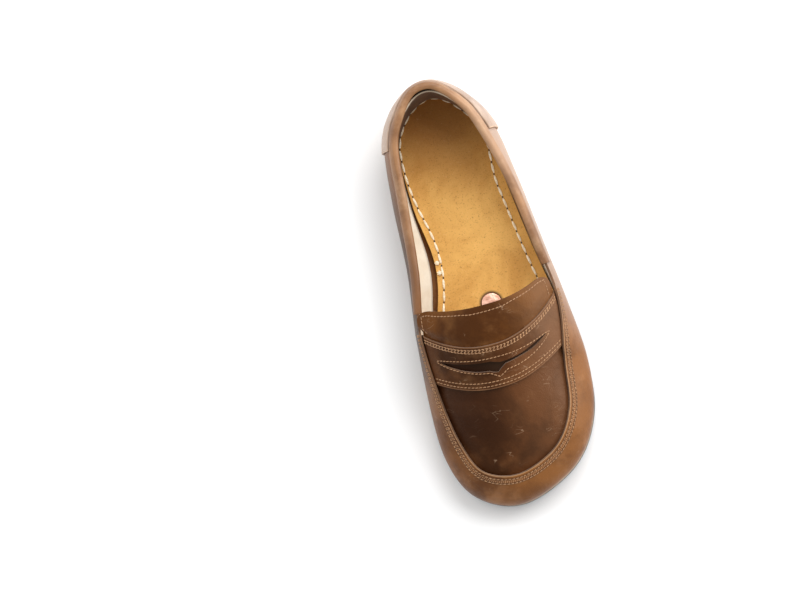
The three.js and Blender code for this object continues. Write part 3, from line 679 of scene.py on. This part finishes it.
# saddle strap: two bands that part round the penny slot and meet at its ends
strapCut = {"top": 1.8, "halfSlot": 33.0, "halfDepth": 3.2, "notch": 3.0, "halfNotch": 0.16,
            "tuck": (6.5, 3.2), "middle": 0.53, "aside": -2, "edge": 0.28}


def slotEdges(q):
    y = mix(frontEdge(q), backEdge(q), strapCut["middle"])
    a = (across(q, y) - strapCut["aside"]) / strapCut["halfSlot"]
    gape = 0.3 + 0.7 * smooth(0.1, -0.16, a) + 0.35 * smooth(0.45, 0.8, a)
    open_ = np.clip(1 - a * a, 0, 1) ** 0.6 * strapCut["halfDepth"] * gape
    notch = strapCut["notch"] * np.maximum(0, 1 - np.abs(a) / strapCut["halfNotch"]) * (open_ > 0)
    return y - open_ - notch, y + open_ * 0.8


def strapBand(y0, y1, q, count):
    r = np.linspace(0, 1, count)[None]
    y = y0[:, None] + (y1 - y0)[:, None] * r
    x = across(q[:, None] + 0 * y, y)
    return onTop(x, y, strapCut["top"]), y


q = np.linspace(-0.945, 0.945, 301)
front, back = frontEdge(q), backEdge(q)
slotFront, slotBack = slotEdges(q)
bands = []
for y0, y1 in ((front, slotFront), (slotBack, back)):
    points, y = strapBand(y0, y1, q, 22)
    tucked = []
    for side, name, end in ((0, "in", -1), (-1, "out", 1)):
        share = (y[side] - front[side]) / (back[side] - front[side])
        t = rimAt(name, mix(float(frontEdge(end)), float(backEdge(end)), share))
        tucked.append([onWall(t, below(t, far), -(last["wall"] + 0.9)) for far in strapCut["tuck"]])
    whole = np.concatenate([np.array(tucked[0]), points, np.array(tucked[1])[::-1]])
    inset = np.minimum(y - front[:, None], back[:, None] - y)
    bands.append((whole, np.pad(inset, ((2, 2), (0, 0)), "edge")))
both = [grid("band", whole, [strapSkin, darkEdge], inset) for whole, inset in bands]
pick(both[0])
both[1].select_set(True)
bpy.ops.object.join()
strapPiece = both[0]
strapPiece.name = "saddleStrap"
thicken(strapPiece, last["strap"], strapCut["edge"], 1, True)
keep(strapPiece, "shoe", "dark_leather", "saddle_strap")

# tongue: comes from under the strap's back edge and rests on the binding's ends
tongue = {"reach": 24.0, "waist": 0.94, "endIn": 14.8, "endOut": 11.5, "flare": 3.6, "under": 5.0,
          "corner": 7.0, "top": 0.6, "waistIn": 1.0, "waistOut": 0.94, "thickness": 1.5, "lining": 0.9}


def tonguePoint(q, r, up):
    hidden = smooth(0.42, 0.22, np.abs(q))
    ends = np.where(q < 0, tongue["endIn"], tongue["endOut"])
    reach = mix(tongue["reach"], ends, np.abs(q) ** strap["curve"])
    rounding = np.clip((np.abs(q) - 0.8) / 0.2, 0, 0.999)
    reach = reach - tongue["corner"] * (1 - np.sqrt(1 - rounding ** 2))
    start = backEdge(q * tongue["waist"]) + mix(0.35, -tongue["under"], hidden)
    y = mix(start, backEdge(q) + reach, r)
    past = np.clip((y - backEdge(q * tongue["waist"])) / 11, 0, 1)
    outer = np.where(q < 0, tongue["waistIn"], tongue["waistOut"])
    x = across(q * mix(tongue["waist"], outer, smooth(0.25, 0.7, past)), y)
    p = onTop(x, y, up)
    p[..., 2] += tongue["flare"] * q * q * smooth(0, 0.8, past) - 0.25 * smooth(0.3, 0, r) * hidden
    return p


qq, rr = np.meshgrid(np.sin(np.linspace(-1, 1, 161) * math.pi / 2), np.linspace(0, 1, 40), indexing="ij")
rows = tonguePoint(qq, rr, tongue["top"])
tonguePiece = thicken(grid("tongueLeather", rows, [tongueSkin, darkEdge]), tongue["thickness"], 0.35)
rows = tonguePoint(qq * 0.985, rr * 0.995, tongue["top"] - tongue["thickness"] - 0.2)
tongueBack = thicken(grid("tongueLining", rows, [liningSkin]), tongue["lining"], 0.2)

# heel cap
cap = {"reachIn": 91, "reachOut": 88, "off": 1.7, "thickness": 1.4, "drop": 5.1, "edge": 0.35}
tFrom, tTo = rimAt("in", cap["reachIn"]) - 1, rimAt("out", cap["reachOut"])
t = np.linspace(tFrom, tTo, 160)
top = below(t, cap["drop"])
vv = mix(0.015, top[:, None], np.linspace(0, 1, 40)[None])
tt = np.broadcast_to(t[:, None], vv.shape)
rows = onWall(tt, vv, cap["off"])
fromEnd = lineLength(rows[:, 20])
fromEnd = np.minimum(fromEnd, fromEnd[-1] - fromEnd)[:, None] + 0 * vv
capPiece = grid("heelCap", rows, [capSkin, rawSkin], fromEnd, False, True)
thicken(capPiece, cap["thickness"], cap["edge"])
keep(capPiece, "shoe", "tan_leather", "heel_cap")

# heel grip inside
grip = {"reach": 80, "drop": 9, "thickness": 1.0}
t = np.linspace(rimAt("in", grip["reach"]) - 1, rimAt("out", grip["reach"]), 120)
vv = mix(0.12, below(t, grip["drop"])[:, None], np.linspace(0, 1, 24)[None])
tt = np.broadcast_to(t[:, None], vv.shape)
rows = onWall(tt, vv, -(lining["depth"] + lining["thickness"] + lining["pocket"] + grip["thickness"]
                        + last["seamGap"]))
gripPiece = thicken(grid("heelGrip", rows, [gripSkin, gripEdge]), grip["thickness"], 0.3, 1)
keep(gripPiece, "shoe", "grip_leather", "heel_grip")

# topline binding, rolled over the edge
tFrom, tTo = rimAt("in", binding["endIn"]) - 1, rimAt("out", binding["endOut"])
t = np.linspace(tFrom, tTo, 420)
rim, normal = wallPoint(t, np.ones_like(t)), wallNormal(t, np.ones_like(t))
up = rim - wallPoint(t, np.full_like(t, 0.97))
up /= np.linalg.norm(up, axis=-1, keepdims=True)
fromEnd = lineLength(rim)
fromEnd = np.minimum(fromEnd, fromEnd[-1] - fromEnd)
crest = mix(0.9, binding["crest"], smooth(0, 18, fromEnd))
section = []
for drop in np.linspace(binding["outside"], 0.5, 7):
    puff = 0.35 * math.sin(math.pi * (1 - drop / binding["outside"]))
    section.append(onWall(t, below(t, drop), binding["out"] + puff - 0.3 * (drop > 4.2)))
for angle in np.linspace(0, math.pi, 13):
    middle, half = (binding["out"] - binding["in"]) / 2, (binding["out"] + binding["in"]) / 2
    section.append(rim + normal * (middle + half * math.cos(angle)) + up * (crest * math.sin(angle))[:, None])
for drop in np.linspace(0.8, binding["inside"], 6):
    section.append(onWall(t, below(t, drop), -binding["in"]))
rows = np.array(section).transpose(1, 0, 2)
bindingPiece = grid("toplineBinding", rows, [bindingSkin, darkEdge], None, False, True)
thicken(bindingPiece, binding["thickness"], 0.3, 1)
keep(bindingPiece, "shoe", "tan_leather", "topline_binding")
print("upper made")


# ---- sole ----
plateGrid = {"rows": 300, "columns": 41, "tip": 0.012}


def plate(name, outline, top, thickness, shaders, edge):  # a flat layer, cut across into rows from heel to toe
    loop = np.concatenate([outline, outline[:1]])
    back, front = loop[:, 1].max(), loop[:, 1].min()
    turns = np.linspace(plateGrid["tip"], math.pi - plateGrid["tip"], plateGrid["rows"])
    ys = mix(back, front, (1 - np.cos(turns)) / 2)
    cuts = []
    for y in ys:
        a, b = loop[:-1], loop[1:]
        hit = ((a[:, 1] - y) * (b[:, 1] - y) <= 0) & (a[:, 1] != b[:, 1])
        xs = a[hit, 0] + (b[hit, 0] - a[hit, 0]) * (y - a[hit, 1]) / (b[hit, 1] - a[hit, 1])
        cuts.append((xs.min(), xs.max()))
    cuts = np.array(cuts)
    x = mix(cuts[:, :1], cuts[:, 1:], (1 - np.cos(np.linspace(0, math.pi, plateGrid["columns"])))[None] / 2)
    points = np.stack([x, np.broadcast_to(ys[:, None], x.shape), np.full_like(x, top)], -1)
    made = grid(name, points, shaders, None, False, True)
    if made.data.polygons[0].normal.z < 0:
        made.data.flip_normals()
    return thicken(made, thickness, edge, len(shaders) - 1)


# how far each layer stands out from the feather edge, its upper face's height, its thickness and its edge
layers = {"outsole": (2.0, 2.5, 2.5, 0.4), "midsole": (1.8, 5.3, 2.5, 0.3)}
insole = {"top": 11.5, "thickness": 2.5, "edge": 0.5, "margin": 2.8, "waistMargin": 4.6}
manyT = np.linspace(0, 1, 1441)[:-1]
feather = np.stack([around(0, manyT), around(1, manyT)], -1)
outN = outward(manyT)[:, :2]
for name, skin, slotName in (("outsole", rubber, "sole_rubber"), ("midsole", soleEdge, "sole_leather")):
    out, top, thickness, edge = layers[name]
    keep(plate(name, feather + outN * out, top, thickness, [skin], edge), "shoe", slotName, name)

heelward = np.where(feather[:, 0] < 0, smooth(30, 75, feather[:, 1]), smooth(58, 96, feather[:, 1]))
atWaist = np.where(feather[:, 0] < 0, smooth(60, 20, feather[:, 1]) * smooth(-40, -10, feather[:, 1]), 0)
inner = feather - outN * mix(insole["margin"], insole["waistMargin"], atWaist)[:, None]
insoleSkins = [insoleSkin, rawSkin]
insolePiece = plate("insole", inner, insole["top"], insole["thickness"], insoleSkins, insole["edge"])
keep(insolePiece, "shoe", "insole_leather", "insole")
print("sole made")


# ---- stitches ----
def oneStitch():  # a short length of thread, fat in the middle and round at its ends
    bpy.ops.mesh.primitive_uv_sphere_add(segments=8, ring_count=6, radius=1)
    made = bpy.context.active_object
    points = np.array([v.co[:] for v in made.data.vertices])
    faces = [list(p.vertices) for p in made.data.polygons]
    bpy.data.objects.remove(made)
    return points, faces


stitchPoints, stitchFaces = oneStitch()


def along(points, normals, pitch):  # evenly spaced places on a line, its directions and its normals
    far = lineLength(points)
    at = np.linspace(0, far[-1], max(2, int(far[-1] / pitch)) + 1)
    at = (at[1:] + at[:-1]) / 2
    where = np.stack([np.interp(at, far, points[:, k]) for k in range(3)], -1)
    ahead = np.stack([np.interp(at + 0.3, far, points[:, k]) for k in range(3)], -1)
    behind = np.stack([np.interp(at - 0.3, far, points[:, k]) for k in range(3)], -1)
    n = np.stack([np.interp(at, far, normals[:, k]) for k in range(3)], -1)
    d = ahead - behind
    return where, d / np.linalg.norm(d, axis=-1, keepdims=True), n / np.linalg.norm(n, axis=-1, keepdims=True)


# each run: the stitches' places, directions and normals, then their length, radius, slant and rise
def stitches(name, parts, shader):
    points, faces, total = [], [], 0
    for where, d, n, long, radius, slant, rise in parts:
        side = np.cross(n, d)
        turned = d * math.cos(slant) + side * math.sin(slant)
        flat = np.cross(n, turned)
        for p, a, b, c in zip(where, turned, flat, n):
            body = (stitchPoints[:, 2:3] * a * long / 2 + stitchPoints[:, 0:1] * b * radius
                    + stitchPoints[:, 1:2] * c * radius * 0.85)
            points.append(p + c * rise + body)
            faces.extend([[v + total for v in face] for face in stitchFaces])
            total += len(stitchPoints)
    made = makeObject(name, place(np.concatenate(points)), faces, [shader])
    pick(made)
    bpy.ops.object.shade_smooth()
    return made


def wallRow(t, drop, off=0.0):
    v = below(t, drop)
    return onWall(t, v, off), wallNormal(t, v)


def topRow(x, y, up):
    p = onTop(x, y, up)
    e = 0.4
    gx = (topZ(x + e, y) - topZ(x - e, y)) / (2 * e)
    gy = (topZ(x, y + e) - topZ(x, y - e)) / (2 * e)
    n = np.stack([-gx, -gy, np.ones_like(gx)], -1)
    return p, n / np.linalg.norm(n, axis=-1, keepdims=True)


fineThread = {"long": 2.0, "radius": 0.3, "pitch": 2.35}


def fineRow(points, normals, slant, rise=0.08):
    spots = along(points, normals, fineThread["pitch"])
    return (*spots, fineThread["long"], fineThread["radius"], slant, rise)


t = np.linspace(rimAt("out", backEdge(1)), rimAt("in", backEdge(-1)), 900)
runs = [fineRow(*wallRow(t, drop), 0.12, 0.1) for drop in (2.1, 4.7)]
runs.append((*along(*wallRow(t, 3.4), fineThread["pitch"] / 2), 2.0, 0.2, math.pi / 2 - 0.3, 0.02))
mocThread = stitches("mocSeamStitches", runs, brownThread)
keep(mocThread, "shoe", "brown_thread", "moc_seam_stitching")


def strapRow(inset):  # a line in from the strap's front edge, or from its back edge if inset is negative
    q = np.linspace(-0.95, 0.95, 500)
    y = frontEdge(q) + inset if inset > 0 else backEdge(q) + inset
    return topRow(across(q, y), y, strapCut["top"])


runs = [fineRow(*strapRow(inset), 0.1) for inset in (1.7, 4.0)]
keep(stitches("strapFrontStitches", runs, brownThread), "shoe", "brown_thread", "strap_front_stitching")
chain = {"pitch": 2.2, "radius": 0.3, "rows": ((-2.6, 2.6, 0.85), (-1.7, 2.0, 0.0), (-3.6, 2.0, 0.0))}
runs = [(*along(*strapRow(inset), chain["pitch"]), long, chain["radius"], slant, 0.06)
        for inset, long, slant in chain["rows"]]
keep(stitches("strapRearStitches", runs, brownThread), "shoe", "brown_thread", "strap_rear_stitching")

a = np.linspace(-1, 1, 200)
xs = a * (strapCut["halfSlot"] + 1.8) + strapCut["aside"]
mid = mix(frontEdge(xs / 42.5), backEdge(xs / 42.5), strapCut["middle"])
bow = (strapCut["halfDepth"] * 0.75 + 1.9) * (1 - a * a) ** 0.6
point = strapCut["notch"] * np.maximum(0, 1 - np.abs(a) / strapCut["halfNotch"])
loopX = np.concatenate([xs, xs[::-1]])
loopY = np.concatenate([mid + bow, (mid - bow - point)[::-1]])
runs = [fineRow(*topRow(loopX, loopY, strapCut["top"]), 0.1)]
keep(stitches("slotStitches", runs, brownThread), "shoe", "brown_thread", "slot_stitching")


def tongueRow(inset):
    side = np.linspace(0.2, 1 - inset / 20, 60)
    top = np.sin(np.linspace(-1, 1, 400) * math.pi / 2) * 0.93
    q = np.concatenate([np.full(60, -0.93), top, np.full(60, 0.93)])
    r = np.concatenate([side, np.full(400, 1 - inset / 20), side[::-1]])
    p = tonguePoint(q, r, tongue["top"])
    qa, ra = tonguePoint(q + 0.01, r, tongue["top"]) - p, tonguePoint(q, r + 0.01, tongue["top"]) - p
    n = np.cross(qa, ra)
    return p, n / np.linalg.norm(n, axis=-1, keepdims=True)


tongueThread = stitches("tongueStitches", [fineRow(*tongueRow(2.8), 0.1)], brownThread)

# hand-sewn running stitch round the insole, with its two knots
sewing = {"inset": 8.2, "heelInset": 4.0, "pitch": 7.4, "long": 6.5, "radius": 0.75}
order = np.argsort((manyT - 0.74) % 1)
centre = feather - outN * mix(sewing["inset"], sewing["heelInset"], heelward)[:, None]
loop = np.concatenate([centre, np.full((len(centre), 1), insole["top"])], 1)[order]
flat = np.tile([0.0, 0, 1], (len(loop), 1))
where, d, n = along(loop, flat, sewing["pitch"])
runs = [(where, d, n, sewing["long"], sewing["radius"], 0.05, 0.25)]
handThread = stitches("insoleStitches", runs, creamThread)
keep(handThread, "shoe", "waxed_thread", "insole_stitching")
# painted shadow: a dark capsule sunk at each needle hole between the stitches
holeAt = where + d * sewing["pitch"] / 2
holes = stitches("insoleHoles", [(holeAt, d, n, 1.7, 0.75, 0, -0.42)], holeShadowSkin)
keep(holes, "shoe", "insole_leather")
knot = {"at": ((-22.4, 21.8, 0.5), (-22.6, 15.6, 1.2)), "long": 3.2, "radius": 0.8, "twists": (0.3, 1.4, 2.5)}
knots = []
for x, y, turn in knot["at"]:
    spot = np.array([[x, y, insole["top"]]])
    ahead = np.array([[math.cos(turn), math.sin(turn), 0]])
    for twist in knot["twists"]:
        knots.append((spot, ahead, flat[:1], knot["long"], knot["radius"], twist, knot["radius"]))
keep(stitches("insoleKnots", knots, creamThread), "shoe", "waxed_thread")

# copper rivet
centre = place([(*rivet["at"], insole["top"] + 0.1)])[0]
bpy.ops.mesh.primitive_cylinder_add(vertices=64, radius=rivet["radius"] * mm, depth=rivet["depth"] * mm,
                                    location=tuple(centre))
head = bpy.context.active_object
head.name = "rivetHead"
bpy.ops.object.transform_apply(location=True, rotation=True, scale=True)
bpy.ops.object.mode_set(mode="EDIT")
bpy.ops.mesh.select_all(action="SELECT")
bpy.ops.mesh.bevel(offset=rivet["edge"] * mm, segments=4)
bpy.ops.object.mode_set(mode="OBJECT")
bpy.ops.object.shade_smooth()
head.data.materials.append(copper.material)
keep(head, "shoe", "copper", "copper_rivet")
print("stitches and rivet made")

# the hinge's ends, a few millimetres either side of it, are worked out, but the tongue is not bent: its pieces
# have their transforms baked and the CAD's tongue parts are hidden
fold = {"at": (0, -33.3, 60.1), "half": 3}
foldX, foldY, foldZ = fold["at"]
foldStart, foldEnd = place([(foldX, foldY - fold["half"], foldZ), (foldX, foldY + fold["half"], foldZ)])
for piece, slotName, node in ((tonguePiece, "dark_leather", "tongue"),
                              (tongueBack, "cream_leather", "tongue_lining"),
                              (tongueThread, "brown_thread", "tongue_stitching")):
    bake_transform(piece)
    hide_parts(node)

# the hidden pieces stay as the CAD has them
for node, shader in (("cork_filler", corkFill), ("rivet_burr", copper), ("heel_counter", boardSkin),
                     ("toe_puff", boardSkin)):
    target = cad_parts[node]
    target.data.materials.clear()
    target.data.materials.append(shader.material)

# ---- floor, light and camera ----
bpy.ops.mesh.primitive_plane_add(size=6, location=(0, 0, -0.0003))
floor = bpy.context.active_object
floor.name = "floor"
paper = Shader("paper", Roughness=0.9)
paper.feed(Base_Color=paper.blend((0.9, 0.9, 0.9), (0.92, 0.92, 0.92), paper.noise(3)))
floor.data.materials.append(paper.material)

world = bpy.data.worlds.new("studio")
world.use_nodes = True
world.node_tree.nodes["Background"].inputs["Color"].default_value = (1, 1, 1, 1)
world.node_tree.nodes["Background"].inputs["Strength"].default_value = 0.62
bpy.context.scene.world = world


def softbox(name, at, size, power):
    light = bpy.data.lights.new(name, "AREA")
    light.shape = "RECTANGLE"
    light.size, light.size_y = size
    light.energy = power
    holder = bpy.data.objects.new(name, light)
    bpy.context.scene.collection.objects.link(holder)
    toCentre = Vector((0, 0, 0.02)) - Vector(at)
    holder.matrix_world = Matrix.Translation(at) @ toCentre.to_track_quat("-Z", "Y").to_matrix().to_4x4()


softbox("key", (0.9, 0.9, 1.5), (1.8, 1.4), 38)
softbox("fill", (-1.1, 0.9, 1.4), (1.6, 1.2), 12)
softbox("side", (1.6, -0.1, 0.45), (1.2, 0.5), 12)

view = {"turn": math.radians(15.3), "aim": (-0.0518, 0.011), "distance": 5.0, "lean": (0.068, 0.064),
        "width": 0.4804, "sensor": 36}
right = Vector((math.cos(view["turn"]), -math.sin(view["turn"]), 0))
down = Vector((-math.sin(view["turn"]), -math.cos(view["turn"]), 0))
zAxis = (right * view["lean"][0] + down * view["lean"][1] + Vector((0, 0, 1))).normalized()
aim = Vector((*view["aim"], 0))
camera = bpy.data.cameras.new("camera")
camera.sensor_width = view["sensor"]
camera.lens = view["sensor"] * view["distance"] / view["width"]
cameraHolder = bpy.data.objects.new("camera", camera)
bpy.context.scene.collection.objects.link(cameraHolder)
xAxis = (-down).cross(zAxis).normalized()
yAxis = zAxis.cross(xAxis)
turnIt = Matrix((xAxis, yAxis, zAxis)).transposed().to_4x4()
cameraHolder.matrix_world = Matrix.Translation(aim + zAxis * view["distance"]) @ turnIt
bpy.context.scene.camera = cameraHolder
bpy.context.scene.view_settings.view_transform = "Standard"
